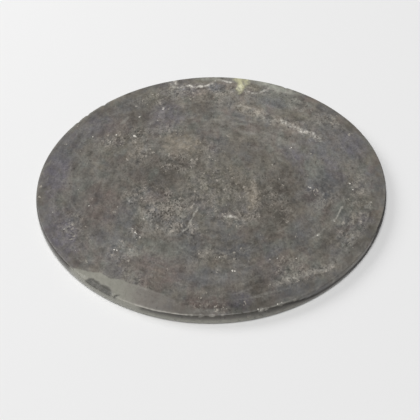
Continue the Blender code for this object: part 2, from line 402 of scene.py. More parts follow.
class StudioSettings(PropertyGroup):
    floor: FloatVectorProperty(
        name="Floor", description="Colour of the floor", subtype="COLOR", size=3,
        default=(0.86, 0.86, 0.86), min=0, max=1,
    )
    key_strength: FloatProperty(
        name="Overhead light", description="Strength of the soft light above and in front",
        default=2.18, min=0,
    )
    side_power: FloatProperty(
        name="Side light", description="Power of the soft light on the left",
        default=8, min=0, unit="POWER",
    )
    sky: FloatProperty(
        name="Surroundings", description="Brightness of the dim surroundings", default=0.1, min=0,
    )
    distance: FloatProperty(
        name="Camera distance", description="From the camera to the stone",
        default=0.45, unit="LENGTH",
    )
    elevation: FloatProperty(
        name="Camera elevation", description="Height of the camera above the horizon",
        default=math.radians(42.962), subtype="ANGLE",
    )
    roll: FloatProperty(
        name="Camera roll", description="How far the camera leans to its right",
        default=math.radians(2.117), subtype="ANGLE",
    )
    lens: FloatProperty(
        name="Lens", description="Focal length in millimetres", default=83.198, min=10,
    )


# ---------------------------------------------------------------- shape


def top_height(radius):
    """Height of the crowned top face at a distance from the middle."""
    return THICKNESS - CROWN * (radius / ARRIS_RADIUS) ** 2


def rim_growth(angle):
    """How far the rim strays from a true circle in each direction."""
    return sum(height * np.cos(lobes * (angle - math.radians(at))) for lobes, height, at in LOBES)


def outline_shift():
    """Offset that centres the out-of-round outline on the origin, as the solid is centred."""
    angle = np.linspace(0, 2 * math.pi, 721)
    radius = RADIUS + rim_growth(angle)
    across, along = radius * np.cos(angle), radius * np.sin(angle)
    return (across.min() + across.max()) / 2, (along.min() + along.max()) / 2


def arc(centre, across, up, start, end, steps):
    """Points of a quarter ellipse without its first one, angles from the horizontal."""
    turns = np.radians(start + (end - start) * np.arange(1, steps + 1) / steps)
    return [(centre[0] + across * math.cos(t), centre[1] + up * math.sin(t)) for t in turns]


def section_rings(spacing):
    """(radius, height, points in the ring) from the middle of the top to that of the underside."""
    face_end = ARRIS_RADIUS - ARRIS_ROUND
    steps = round(face_end / spacing)
    rings = []
    for step in range(1, steps + 1):
        radius = face_end * step / steps
        rings.append((radius, top_height(radius), round(2 * math.pi * radius / spacing)))
    around = rings[-1][2]
    round_centre = (face_end, ARRIS_HEIGHT - ARRIS_ROUND)
    side = arc(round_centre, ARRIS_ROUND, ARRIS_ROUND, 90, 0, 4)
    rise = side[-1][1] - WIDEST_HEIGHT
    side += arc((ARRIS_RADIUS, WIDEST_HEIGHT), ARRIS_SETBACK, rise, 90, 0, 6)
    base_radius = RADIUS - UNDER_ROUND
    side += arc((base_radius, WIDEST_HEIGHT), UNDER_ROUND, WIDEST_HEIGHT, 0, -90, 9)
    rings += [(radius, height, around) for radius, height in side]
    radius, step = base_radius, spacing
    while radius > 2 * step:
        step = min(step * 1.25, 4 * MM)
        radius -= step
        rings.append((radius, 0.0, max(8, round(2 * math.pi * radius / step))))
    return rings


def ring_points(radius, height, count):
    """Evenly turned points of one ring, pushed out of round."""
    angle = 2 * math.pi * np.arange(count) / count
    reach = radius * (1 + rim_growth(angle) / RADIUS)
    return np.stack([reach * np.cos(angle), reach * np.sin(angle), np.full(count, height)], 1)


def stitch(first, count, second, other):
    """Triangles between two rings that begin at the same angle, walking round both."""
    faces = []
    i = j = 0
    while i < count or j < other:
        if j >= other or (i < count and (i + 1) * other <= (j + 1) * count):
            faces.append((first + i, second + j % other, first + (i + 1) % count))
            i += 1
        else:
            faces.append((first + i % count, second + j, second + (j + 1) % other))
            j += 1
    return faces


def ground_blank(spacing):
    """Points and triangles of the closed disc before wear: rings, joined in turn."""
    rings = section_rings(spacing)
    points = [np.array([[0.0, 0.0, THICKNESS]])]
    faces = [(0, 1 + i, 1 + (i + 1) % rings[0][2]) for i in range(rings[0][2])]
    start = 1
    for number, (radius, height, count) in enumerate(rings):
        points.append(ring_points(radius, height, count))
        if number:
            before = rings[number - 1][2]
            faces += stitch(start - before, before, start, count)
        start += count
    last = rings[-1][2]
    faces += [(start, start - last + (i + 1) % last, start - last + i) for i in range(last)]
    points.append(np.array([[0.0, 0.0, 0.0]]))
    points = np.concatenate(points)
    shift = outline_shift()
    points[:, 0] -= shift[0]
    points[:, 1] -= shift[1]
    return points, faces


def noise_at(points, size, octaves=1, offset=0.0):
    """Smooth noise, about -1 to 1, in lumps of a size. The offset picks a place in the noise."""
    places = points * np.array(DRAWN_OUT) / size + offset
    if octaves == 1:
        return np.array([noise.noise(Vector(place)) for place in places])
    return np.array([noise.fractal(Vector(place), 0.7, 2.1, octaves) for place in places])


def smooth_step(low, high, value):
    share = np.clip((value - low) / (high - low), 0, 1)
    return share * share * (3 - 2 * share)


def smooth_least(first, second, blend):
    """The lower of two heights, with a rounded corner where they meet."""
    share = np.clip(0.5 + 0.5 * (second - first) / blend, 0, 1)
    return second * (1 - share) + first * share - blend * share * (1 - share)


def ellipse_mask(places, patch, edge=0.45):
    """1 inside a patch, falling to 0 outside over a soft edge."""
    x, y, half_length, half_width, turn = patch
    angle = math.radians(turn)
    dx, dy = places[:, 0] - x * MM, places[:, 1] - y * MM
    along = (dx * math.cos(angle) + dy * math.sin(angle)) / (half_length * MM)
    across = (-dx * math.sin(angle) + dy * math.cos(angle)) / (half_width * MM)
    return 1 - smooth_step(1 - edge, 1 + edge, np.hypot(along, across))


def vein_mask(places, half_width, route):
    """1 on a vein's line, falling to 0 at twice its half width."""
    nearest = np.full(len(places), np.inf)
    for start, end in zip(route[:-1], route[1:]):
        a, b = np.array(start) * MM, np.array(end) * MM
        share = np.clip(((places - a) @ (b - a)) / ((b - a) @ (b - a)), 0, 1)
        nearest = np.minimum(nearest, np.linalg.norm(places - a - share[:, None] * (b - a), axis=1))
    return 1 - smooth_step(half_width * MM * 0.5, half_width * MM * 2, nearest)


def flat_edge_offset(points, direction, inner):
    """How far the uneven inner edge of the first flat lies inside the straight line of its plane."""
    outward = np.array([math.cos(direction), math.sin(direction)])
    sideways = np.array([-outward[1], outward[0]])
    edge = np.array(FLAT_EDGE) * MM
    order = np.argsort(edge @ sideways)
    along = points[:, :2] @ sideways
    return inner - np.interp(along, (edge @ sideways)[order], (edge @ outward)[order])


def grind_facets(points, rough):
    """Lowers the points above each re-ground plane to it. Returns how freshly ground each one is."""
    height = points[:, 2].copy()
    fresh = np.zeros(len(points))
    upper = points[:, 2] > WIDEST_HEIGHT
    for number, (direction, inner, inner_height, slope) in enumerate(FACETS):
        angle = math.radians(direction)
        reach = points[:, 0] * math.cos(angle) + points[:, 1] * math.sin(angle) - inner + rough
        if number == 0:
            near = 1 - smooth_step(0, 4 * MM, reach)
            reach = reach + flat_edge_offset(points, angle, inner) * near
        plane = inner_height - reach * math.tan(math.radians(slope))
        fresh = np.maximum(fresh, smooth_step(-0.01 * MM, 0.03 * MM, height - plane))
        height = smooth_least(height, plane, 0.04 * MM)
    points[:, 2] = np.where(upper, height, points[:, 2])
    return np.where(upper, fresh, 0.0)


def bite_chips(points, rough):
    """Pushes points out of each rough ball that bit the edge. Returns where stone is broken."""
    broken = np.zeros(len(points))
    for direction, *sizes in CHIPS:
        angle = math.radians(direction)
        bite, into_rim, into_face = (size * MM for size in sizes)
        diagonal = bite * math.sqrt(0.5)
        reach = ARRIS_RADIUS + float(rim_growth(angle)) - into_rim + diagonal
        centre = np.array([reach * math.cos(angle), reach * math.sin(angle), 0.0])
        centre[2] = ARRIS_HEIGHT - into_face + diagonal
        away = points - centre
        distance = np.linalg.norm(away, axis=1)
        ball = bite * (1 + 0.18 * rough)
        inside = distance < ball
        points[inside] = centre + away[inside] / distance[inside, None] * ball[inside, None]
        broken = np.maximum(broken, 1 - smooth_step(0.0, 0.25 * MM, distance - ball))
    return broken


def paint(colours, name, mask):
    """Lays a rock colour over the points, as far as the mask says."""
    tint = np.array(ROCK[name])
    colours += (tint - colours) * np.clip(mask, 0, 1)[:, None]


def flow_noise(points, length, width, offset):
    """Noise drawn out round the middle of the stone, like bands of flow in the rock."""
    length, width = length * MM, width * MM
    bend = 2.5 * MM * noise_at(points, 9 * MM, 2, offset + 40)
    radius = np.hypot(points[:, 0], points[:, 1]) + bend
    drawn = np.stack([points[:, 0] / length, points[:, 1] / length, radius / width], 1)
    drawn[:, 2] += points[:, 2] / length
    return noise_at(drawn, 1.0, 2, offset)


def rock_colours(points, rock):
    """Colour of every point: drift, patches, bands and tones of the rock, then cream and veins."""
    colours = np.tile(np.array(rock), (len(points), 1))
    ragged = noise_at(points, RAGGED_LUMPS, 3, 11.0)
    places = warped_places(points)
    straight = warped_places(points, 0.3)
    buried = 1 - SIDE_FADE * smooth_step(0, 3 * MM, ARRIS_HEIGHT - points[:, 2])
    radius = np.hypot(points[:, 0], points[:, 1])
    banded = smooth_step(BANDS_START, BANDS_FULL, radius)
    for name, size, strength, offset in DRIFT:
        drift = noise_at(points, size * MM, 3, offset)
        paint(colours, name, strength * smooth_step(0.05, 0.55, drift))
    uneven = 0.85 + 0.6 * ragged
    for name, *patch, strength in PATCHES:
        paint(colours, name, ellipse_mask(places, patch) * strength * buried * uneven)
    flow = flow_noise(points, *FLOW_BANDS)
    broad = noise_at(points, BROAD_LUMPS, 2, 223.0)
    shade = FLOW_CONTRAST * flow * banded + BROAD_CONTRAST * broad + RAGGED_CONTRAST * ragged
    colours *= (1 + shade)[:, None]
    for *zone, gain in TONES:
        colours *= (1 + gain * ellipse_mask(places, zone, 0.7) * buried)[:, None]
    thin_flow = flow_noise(points, *THIN_FLOW_BANDS)
    paint(colours, "ash", 0.5 * banded * smooth_step(0.3, 0.8, thin_flow))
    for name, *patch, strength in CREAM_PATCHES:
        paint(colours, name, ellipse_mask(places, patch, 0.4) * strength * (0.9 + 0.8 * ragged))
    crumble = noise_at(points, CRUMBS, 2, 61.0)
    for name, half_width, strength, route in VEINS:
        gaps = VEIN_GAPS * half_width
        whole = 0.15 + 0.85 * smooth_step(gaps - 0.65, gaps + 0.05, crumble)
        paint(colours, name, vein_mask(straight, half_width, route) * strength * buried * whole)
    return colours, ragged


def warped_places(points, share=1.0):
    """Where each point looks up its colour: bent by noise, and carried down at a slant."""
    depth = THICKNESS - points[:, 2]
    places = points[:, :2].copy()
    for axis, offset in ((0, 101.0), (1, 151.0)):
        places[:, axis] += 1.8 * MM * share * noise_at(points, 7 * MM, 1, offset)
        places[:, axis] += 0.8 * MM * math.sqrt(share) * noise_at(points, 1.8 * MM, 2, offset + 9)
        places[:, axis] += depth * 0.5
    return places


def stretch(angle, name):
    """1 in a named stretch of the rim, falling to 0 over its soft ends."""
    start, end, soft = STRETCHES[name]
    middle, half = (start + end) / 2, (end - start) / 2
    off = np.abs((np.degrees(angle) - middle + 180) % 360 - 180)
    return 1 - smooth_step(half, half + soft, off)


def colour_flat(colours, points, fresh, ragged):
    """Pale, smooth stone of the re-ground flat, pinker and fainter towards its right end."""
    along = points[:, 0] / MM
    pink = smooth_step(*FLAT_PINK, along + 3 * ragged)[:, None]
    ground = np.array(ROCK["ground"]) * (1 - pink) + np.array(ROCK["ground_pink"]) * pink
    fade = 1.0
    for start, end, loss in FLAT_FADES:
        fade = fade - loss * smooth_step(start, end, along + 4 * ragged)
    share = (fresh * fade * FLAT_STRENGTH)[:, None]
    colours += (ground * (1 + 0.08 * ragged[:, None]) - colours) * share


def colour_rim(colours, points, depth, fresh, ragged):
    """Painted shade under the top edge, partly a darker polished skin, then paler ground stone down to
    the base, partly a painted reflection of the bright floor. Returns the painted shadow line.
    """
    angle = np.arctan2(points[:, 1], points[:, 0])
    radius = np.hypot(points[:, 0], points[:, 1])
    outer = smooth_step(RADIUS - 4 * MM, RADIUS - 2 * MM, radius)
    # Starts the painted shade lower on the right front
    depth = depth - 0.33 * stretch(angle, "painted shade set lower")
    side = smooth_step(0.01, 0.05, depth) * outer * (1 - fresh)
    # Painted shade over the rim side, partly a darker polished skin
    paint(colours, "dark", side * (0.8 + 0.2 * stretch(angle, "darkest side")))
    # Paler ground stone towards the base, partly a painted reflection of the bright floor, strongest at
    # the front
    facing = 0.6 + 0.4 * stretch(angle, "pale front")
    facing *= 1 - 0.97 * stretch(angle, "dark right")
    pale = smooth_step(0.12, 0.75, depth) * side * facing * (1 + 0.3 * ragged)
    paint(colours, "ground", pale)
    # A painted shadow line under the top edge, reaching down to the base on the right
    upper = 1 - smooth_step(0.1, 0.35, depth) * (1 - stretch(angle, "dark to the base"))
    line = side * upper * stretch(angle, "dark line")
    paint(colours, "shadow", line * 0.9)
    paint(colours, "ground", side * stretch(angle, "freshly ground") * 0.95)
    return line


def colour_arris(colours, points, fresh, broken, ragged):
    """The top edge worn to a thin pale line, in some stretches much more than in others."""
    angle = np.arctan2(points[:, 1], points[:, 0])
    radius = np.hypot(points[:, 0], points[:, 1])
    off_edge = np.abs(radius - (ARRIS_RADIUS - 0.4 * MM + rim_growth(angle)))
    edge = 1 - smooth_step(0.2 * MM, 0.55 * MM, off_edge)
    edge = edge * smooth_step(-0.35 * MM, -0.1 * MM, points[:, 2] - ARRIS_HEIGHT)
    lip = smooth_step(ARRIS_RADIUS - 0.5 * MM, ARRIS_RADIUS - 0.2 * MM, radius - rim_growth(angle))
    edge = np.maximum(edge, lip * fresh)
    worn = 0.1 + 0.9 * stretch(angle, "worn front") + 0.3 * stretch(angle, "worn right")
    worn += 0.5 * stretch(angle, "worn back")
    worn *= (0.6 + 0.6 * ragged) * (1 - fresh * stretch(angle, "clean flat"))
    paint(colours, "chalk", edge * worn)
    paint(colours, "white", edge * worn * 0.4 * stretch(angle, "whitest front"))
    bright = 0.3 + 0.4 * stretch(angle, "large bite") + 0.15 * stretch(angle, "broken front")
    paint(colours, "chalk", broken * bright * (0.7 + 0.6 * ragged))


def store(mesh, name, values, kind="FLOAT"):
    layer = mesh.attributes.new(name, kind, "POINT")
    field = "value" if kind == "FLOAT" else "color"
    layer.data.foreach_set(field, np.ascontiguousarray(values, np.float32).ravel())


def zone_mask(places, zones, edge):
    """The strongest of several patches at each place."""
    strongest = np.zeros(len(places))
    for *patch, strength in zones:
        strongest = np.maximum(strongest, ellipse_mask(places, patch, edge) * strength)
    return strongest


def stone_mesh(shape, finish):
    """The ground, worn and chipped disc, with its colours and finish stored on its points."""
    points, faces = ground_blank(shape.spacing)
    rough = noise_at(points, ROUGH_LUMPS, 2, 5.0)
    depth = (ARRIS_HEIGHT - points[:, 2]) / ARRIS_HEIGHT
    top = 1 - smooth_step(0, 0.3, depth)
    points[:, 2] += top * shape.waviness * noise_at(points, WAVES, 2, 71.0)
    fresh = grind_facets(points, 0.15 * MM * rough)
    reground = fresh
    places = warped_places(points, 0.25)
    island = zone_mask(places, ISLAND, 0.22) * fresh
    points[:, 2] -= island * ISLAND_DEPTH
    fresh = fresh * (1 - island)
    broken = bite_chips(points, rough)

    colours, ragged = rock_colours(points, finish.rock)
    colour_flat(colours, points, fresh, ragged)
    # The painted shadow line, also stored to roughen the rim there
    dull = colour_rim(colours, points, depth, reground, ragged)
    colour_arris(colours, points, reground, broken, ragged)
    left_low = zone_mask(places, ISLAND, 0.15) * (1 - smooth_step(0.1, 0.45, depth))
    paint(colours, "island", left_low)
    name, half_width, strength, route = ISLAND_GLINT
    paint(colours, name, vein_mask(places, half_width, route) * strength * top)

    radius = np.hypot(points[:, 0], points[:, 1])
    dusted = zone_mask(places, DUSTED, 0.6) * (0.75 + 0.6 * ragged) * (1 - fresh) * top
    side = smooth_step(0.05, 0.15, depth)
    rubbed = smooth_step(RUBBED_START, RUBBED_FULL, radius) * 0.6
    smooth = np.maximum.reduce([fresh, side, rubbed])

    mesh = bpy.data.meshes.new("stone")
    mesh.from_pydata(points.tolist(), [], faces)
    opaque = np.ones((len(points), 1))
    store(mesh, "tint", np.concatenate([colours.clip(0, 1), opaque], 1), "FLOAT_COLOR")
    store(mesh, "dusted", dusted.clip(0, 1))
    store(mesh, "smooth", smooth.clip(0, 1))
    store(mesh, "broken", broken.clip(0, 1))
    store(mesh, "dull", dull.clip(0, 1))
    store(mesh, "upper", top)
    return mesh


# ---------------------------------------------------------------- node helpers


FLOAT = "NodeSocketFloat"
VECTOR = "NodeSocketVector"
INTEGER = "NodeSocketInt"
GEOMETRY = "NodeSocketGeometry"
MATERIAL = "NodeSocketMaterial"


def feed(tree, node, values):
    """Links a socket, or sets a plain value, at each named input of a node."""
    for name, value in values.items():
        if isinstance(value, bpy.types.NodeSocket):
            tree.links.new(value, node.inputs[name])
        else:
            node.inputs[name].default_value = value
    return node


def add_node(tree, kind, values=None, **settings):
    node = tree.nodes.new(kind)
    for name, value in settings.items():
        setattr(node, name, value)
    return feed(tree, node, values or {})


def calculate(tree, operation, first, second=0.0, clamp=False):
    values = {0: first, 1: second}
    return add_node(tree, "ShaderNodeMath", values, operation=operation, use_clamp=clamp).outputs[0]


def times(tree, first, second, clamp=False):
    return calculate(tree, "MULTIPLY", first, second, clamp)


def plus(tree, first, second, clamp=False):
    return calculate(tree, "ADD", first, second, clamp)


def minus(tree, first, second, clamp=False):
    return calculate(tree, "SUBTRACT", first, second, clamp)


def per(tree, size):
    """The scale that gives a texture lumps of this size."""
    return calculate(tree, "DIVIDE", 1.0, size)


def combine(tree, operation, first, second):
    return add_node(tree, "ShaderNodeVectorMath", {0: first, 1: second}, operation=operation).outputs[0]


def scaled(tree, vector, scale):
    """A vector or a colour multiplied by one value."""
    values = {0: vector, "Scale": scale}
    return add_node(tree, "ShaderNodeVectorMath", values, operation="SCALE").outputs[0]


def ramp(tree, value, low, high, to_low=0.0, to_high=1.0):
    """Value from low to high, mapped smoothly between two results."""
    values = {"Value": value, "From Min": low, "From Max": high, "To Min": to_low, "To Max": to_high}
    node = add_node(tree, "ShaderNodeMapRange", values, interpolation_type="SMOOTHSTEP")
    return node.outputs["Result"]


def open_group(name, kind, inputs, outputs):
    """A new node group with named sockets. Returns its tree, what it is given and its end node."""
    tree = bpy.data.node_groups.new(name, kind)
    for socket_name, socket_kind, default in inputs:
        socket = tree.interface.new_socket(name=socket_name, in_out="INPUT", socket_type=socket_kind)
        if default is not None:
            socket.default_value = default
    for socket_name, socket_kind in outputs:
        tree.interface.new_socket(name=socket_name, in_out="OUTPUT", socket_type=socket_kind)
    return tree, tree.nodes.new("NodeGroupInput").outputs, tree.nodes.new("NodeGroupOutput")


def apply_nodes(target, tree, values):
    """Runs a Geometry Nodes tree on an object and keeps the result as its plain mesh."""
    modifier = target.modifiers.new(tree.name, "NODES")
    modifier.node_group = tree
    for item in tree.interface.items_tree:
        if item.item_type == "SOCKET" and item.in_out == "INPUT" and item.name in values:
            modifier[item.identifier] = values[item.name]
    evaluated = target.evaluated_get(bpy.context.evaluated_depsgraph_get())
    result = bpy.data.meshes.new_from_object(evaluated)
    target.modifiers.remove(modifier)
    target.data = result


# ---------------------------------------------------------------- materials


# Mottling of the rock: lump size (mm), strength
LUMPS = ((0.8, 0.34), (1.7, 0.27), (4.2, 0.16))
DARKEST_MOTTLE = 0.3

# Threads of the grainy zones: offset in the noise (m), spacing (mm), width, strength, pale or dark
THREADS = (
    ((0.3, 0.1, 0.2), 1.9, 0.09, 0.55, "dark"),
    ((0, 0, 0), 1.7, 0.075, 0.6, "pale"),
    ((0, 0, 0), 3.4, 0.04, 0.6, "pale"),
)

# Specks and pits: cell size (mm), reach in the cell, share filled everywhere, more in grainy zones
PALE_SPECKS = (1.5, 0.4, 0.012, 0.35)
PALE_SPECK_STRENGTH = 0.7
PITS = (1.2, 0.36, 0.06, 0.12)
PIT_STRENGTH = 0.65
THREAD_SHADE = (0.045, 0.040, 0.032, 1.0)
PIT_SHADE = (0.035, 0.031, 0.025, 1.0)
BUMP_STRENGTH = 0.4
BUMP_DEPTH = 0.08 * MM


def mottle_group():
    """Fine light and dark mottling of a rock, as a factor to multiply its colour by."""
    tree, given, result = open_group(
        "rock_mottle", "ShaderNodeTree",
        (("Vector", VECTOR, None), ("Lump Size", FLOAT, 1.0 * MM), ("Strength", FLOAT, 0.3)),
        (("Factor", FLOAT), ("Height", FLOAT)),
    )
    lumps = add_node(tree, "ShaderNodeTexNoise", {
        "Vector": given["Vector"], "Scale": per(tree, given["Lump Size"]),
        "Detail": 3.0, "Roughness": 0.62,
    })
    strong = times(tree, minus(tree, lumps.outputs["Fac"], 0.5), given["Strength"])
    factor = plus(tree, times(tree, strong, 4.0), 1.0)
    feed(tree, result, {"Factor": factor, "Height": lumps.outputs["Fac"]})
    return tree


def speck_group():
    """Scattered specks: a mask of small crooked cells of which only a share is filled."""
    tree, given, result = open_group(
        "rock_specks", "ShaderNodeTree",
        (
            ("Vector", VECTOR, None),
            ("Cell Size", FLOAT, 1.0 * MM),
            ("Share", FLOAT, 0.2),
            ("Reach", FLOAT, 0.35),
        ),
        (("Mask", FLOAT),),
    )
    scale = per(tree, given["Cell Size"])
    wobble = add_node(tree, "ShaderNodeTexNoise", {
        "Vector": given["Vector"], "Scale": times(tree, scale, 1.6), "Detail": 2.0,
    })
    centred = combine(tree, "SUBTRACT", wobble.outputs["Color"], (0.5, 0.5, 0.5))
    shift = scaled(tree, centred, times(tree, given["Cell Size"], 2.2))
    bent = combine(tree, "ADD", given["Vector"], shift)
    cells = add_node(tree, "ShaderNodeTexVoronoi", {"Vector": bent, "Scale": scale})
    chosen = add_node(tree, "ShaderNodeSeparateColor", {0: cells.outputs["Color"]})
    filled = calculate(tree, "LESS_THAN", chosen.outputs[0], given["Share"])
    size = times(tree, given["Reach"], plus(tree, chosen.outputs[1], 0.4))
    soft = times(tree, minus(tree, size, cells.outputs["Distance"]), 7.0, clamp=True)
    feed(tree, result, {"Mask": times(tree, soft, filled)})
    return tree


def thread_group():
    """Thin crooked threads, as a mask, where a noise passes through its middle value."""
    tree, given, result = open_group(
        "rock_threads", "ShaderNodeTree",
        (("Vector", VECTOR, None), ("Spacing", FLOAT, 2.0 * MM), ("Width", FLOAT, 0.03)),
        (("Mask", FLOAT),),
    )
    lumps = add_node(tree, "ShaderNodeTexNoise", {
        "Vector": given["Vector"], "Scale": per(tree, given["Spacing"]),
        "Detail": 2.0, "Distortion": 0.7,
    })
    off_middle = calculate(tree, "ABSOLUTE", minus(tree, lumps.outputs["Fac"], 0.5))
    share = calculate(tree, "DIVIDE", off_middle, given["Width"])
    feed(tree, result, {"Mask": minus(tree, 1.0, share, clamp=True)})
    return tree


def use_group(tree, group, values):
    return feed(tree, add_node(tree, "ShaderNodeGroup", node_tree=group), values).outputs


def blend_colour(tree, share, first, second):
    return add_node(tree, "ShaderNodeMix", {0: share, 6: first, 7: second}, data_type="RGBA").outputs[2]


def attribute(tree, name, output="Fac"):
    return add_node(tree, "ShaderNodeAttribute", attribute_name=name).outputs[output]


def new_material(name):
    material = bpy.data.materials.new(name)
    material.use_nodes = True
    tree = material.node_tree
    return material, tree, tree.nodes["Principled BSDF"]


def mottled_tint(tree, place, strength, tone, mottle):
    """The points' own colour under mottling of three sizes. Returns it and the lumps' heights."""
    factor = tone
    heights = []
    for size, share in LUMPS:
        strong = times(tree, strength, share)
        lumps = use_group(tree, mottle, {"Vector": place, "Lump Size": size * MM, "Strength": strong})
        factor = times(tree, lumps["Factor"], factor)
        heights.append(lumps["Height"])
    factor = calculate(tree, "MAXIMUM", factor, DARKEST_MOTTLE)
    return scaled(tree, attribute(tree, "tint", "Color"), factor), heights


def speck_mask(tree, specks, place, speck, dusted, calm):
    """Specks that are commoner in the grainy zones and rarer where the skin is smooth."""
    cell, reach, everywhere, more = speck
    share = times(tree, plus(tree, times(tree, dusted, more), everywhere), calm)
    values = {"Vector": place, "Cell Size": cell * MM, "Share": share, "Reach": reach}
    return use_group(tree, specks, values)["Mask"]


def stone_material(finish, mottle, specks, threads):
    """Honed rock: point colours under fine mottling, threads, specks, pits and scuffs."""
    material, tree, shader = new_material("honed_rock")
    place = add_node(tree, "ShaderNodeTexCoord").outputs["Object"]
    place = combine(tree, "MULTIPLY", place, DRAWN_OUT)
    smooth, dusted = attribute(tree, "smooth"), attribute(tree, "dusted")
    calm = minus(tree, 1.0, times(tree, smooth, 0.7))
    grainy = plus(tree, times(tree, dusted, 1.3), 0.8)
    strength = times(tree, times(tree, calm, grainy), finish.mottle)
    shown, heights = mottled_tint(tree, place, strength, finish.tone, mottle)

    tones = {"pale": (*finish.mineral, 1.0), "dark": THREAD_SHADE}
    patchy = ramp(tree, heights[2], 0.40, 0.55)
    netted = times(tree, plus(tree, times(tree, dusted, 0.85), 0.15), calm)
    for offset, size, width, share, tone in THREADS:
        moved = combine(tree, "ADD", place, offset)
        lines = use_group(tree, threads, {"Vector": moved, "Spacing": size * MM, "Width": width})
        mask = times(tree, lines["Mask"], times(tree, patchy, share))
        shown = blend_colour(tree, times(tree, mask, netted), shown, tones[tone])
    grains = speck_mask(tree, specks, place, PALE_SPECKS, dusted, calm)
    shown = blend_colour(tree, times(tree, grains, PALE_SPECK_STRENGTH), shown, tones["pale"])
    pits = speck_mask(tree, specks, place, PITS, dusted, calm)
    shown = blend_colour(tree, times(tree, pits, PIT_STRENGTH), shown, PIT_SHADE)

    rough = plus(tree, times(tree, heights[1], 0.25), finish.roughness - 0.1)
    dull, broken = attribute(tree, "dull"), attribute(tree, "broken")
    for mask, change in ((smooth, -0.14), (pits, 0.25), (dull, 0.4), (broken, 0.25)):
        rough = plus(tree, rough, times(tree, mask, change), clamp=True)
    relief = times(tree, minus(tree, heights[0], pits), calm)
    values = {"Height": relief, "Strength": BUMP_STRENGTH, "Distance": BUMP_DEPTH}
    bump = add_node(tree, "ShaderNodeBump", values)
    feed(tree, shader, {"Base Color": shown, "Roughness": rough, "Normal": bump.outputs["Normal"]})
    return material


def mineral_material(name, tint, mottle):
    """A pale mineral: cream to grey, a little glossier than the rock."""
    material, tree, shader = new_material(name)
    place = add_node(tree, "ShaderNodeTexCoord").outputs["Object"]
    shade = use_group(tree, mottle, {"Vector": place, "Lump Size": 2.0 * MM, "Strength": 0.5})
    cloud = use_group(tree, mottle, {"Vector": place, "Lump Size": 0.2 * MM, "Strength": 0.2})
    colour = scaled(tree, tint, times(tree, shade["Factor"], cloud["Factor"]))
    rough = ramp(tree, shade["Height"], 0.3, 0.7, 0.3, 0.5)
    feed(tree, shader, {"Base Color": colour, "Roughness": rough})
    return material


# ---------------------------------------------------------------- geometry node trees


def named(tree, name):
    values = {"Name": name}
    return add_node(tree, "GeometryNodeInputNamedAttribute", values, data_type="FLOAT").outputs[0]


def weathering_tree():
    """Fine relief and scattered pits, pressed into a surface along its normals."""
    tree, given, result = open_group(
        "weathering", "GeometryNodeTree",
        (
            ("Geometry", GEOMETRY, None),
            ("Relief Height", FLOAT, 0.03 * MM),
            ("Relief Size", FLOAT, 2.6 * MM),
            ("Pit Depth", FLOAT, 0.1 * MM),
            ("Pit Spacing", FLOAT, 2.4 * MM),
        ),
        (("Geometry", GEOMETRY),),
    )
    place = tree.nodes.new("GeometryNodeInputPosition").outputs[0]
    normal = tree.nodes.new("GeometryNodeInputNormal").outputs[0]
    values = {"Vector": place, "Scale": per(tree, given["Relief Size"]), "Detail": 2.0}
    relief = add_node(tree, "ShaderNodeTexNoise", values)
    raised = times(tree, minus(tree, relief.outputs["Fac"], 0.5), given["Relief Height"])
    values = {"Vector": place, "Scale": per(tree, given["Pit Spacing"])}
    pits = add_node(tree, "ShaderNodeTexVoronoi", values)
    sunk = ramp(tree, pits.outputs["Distance"], 0.12, 0.38, 1.0, 0.0)
    chosen = add_node(tree, "FunctionNodeSeparateColor", {0: pits.outputs["Color"]})
    kept = times(tree, sunk, ramp(tree, chosen.outputs[0], 0.45, 0.95))
    offset = minus(tree, raised, times(tree, kept, given["Pit Depth"]))
    open_skin = minus(tree, 1.0, times(tree, named(tree, "smooth"), 0.85))
    share = times(tree, open_skin, named(tree, "upper"))
    push = scaled(tree, normal, times(tree, offset, share))
    moved = add_node(tree, "GeometryNodeSetPosition", {"Geometry": given["Geometry"], "Offset": push})
    feed(tree, result, {"Geometry": moved.outputs[0]})
    return tree


def random_vector(tree, low, high, seed):
    values = {0: low, 1: high, "Seed": seed}
    return add_node(tree, "FunctionNodeRandomValue", values, data_type="FLOAT_VECTOR").outputs[0]


def seated_grains(tree, points, smallest, largest, given):
    """Flattened grains on the points, turned and sized at random, as real geometry."""
    seed = given["Seed"]
    grain = add_node(tree, "GeometryNodeMeshIcoSphere", {"Radius": 1.0, "Subdivisions": 2})
    values = {2: smallest, 3: largest, "Seed": seed}
    size = add_node(tree, "FunctionNodeRandomValue", values, data_type="FLOAT")
    turn = random_vector(tree, (-0.15, -0.15, 0.0), (0.15, 0.15, math.tau), seed)
    stretch = random_vector(tree, (0.7, 0.5, 0.12), (1.2, 0.9, 0.2), seed)
    placed = add_node(tree, "GeometryNodeInstanceOnPoints", {
        "Points": points, "Instance": grain.outputs["Mesh"],
        "Rotation": turn, "Scale": scaled(tree, stretch, size.outputs[1]),
    })
    real = add_node(tree, "GeometryNodeRealizeInstances", {"Geometry": placed.outputs[0]})
    values = {"Geometry": real.outputs[0], "Material": given["Material"]}
    return add_node(tree, "GeometryNodeSetMaterial", values).outputs[0]


def dusting_tree():
    """Small grains scattered over the dusted zones of a surface."""
    tree, given, result = open_group(
        "mineral_dusting", "GeometryNodeTree",
        (
            ("Geometry", GEOMETRY, None),
            ("Density", FLOAT, 1000.0),
            ("Largest", FLOAT, 0.3 * MM),
            ("Seed", INTEGER, 0),
            ("Material", MATERIAL, None),
        ),
        (("Geometry", GEOMETRY),),
    )
    density = times(tree, calculate(tree, "POWER", named(tree, "dusted"), 1.5), given["Density"])
    values = {"Mesh": given["Geometry"], "Density": density, "Seed": given["Seed"]}
    spread = add_node(tree, "GeometryNodeDistributePointsOnFaces", values).outputs["Points"]
    smallest = times(tree, given["Largest"], 0.35)
    feed(tree, result, {"Geometry": seated_grains(tree, spread, smallest, given["Largest"], given)})
    return tree


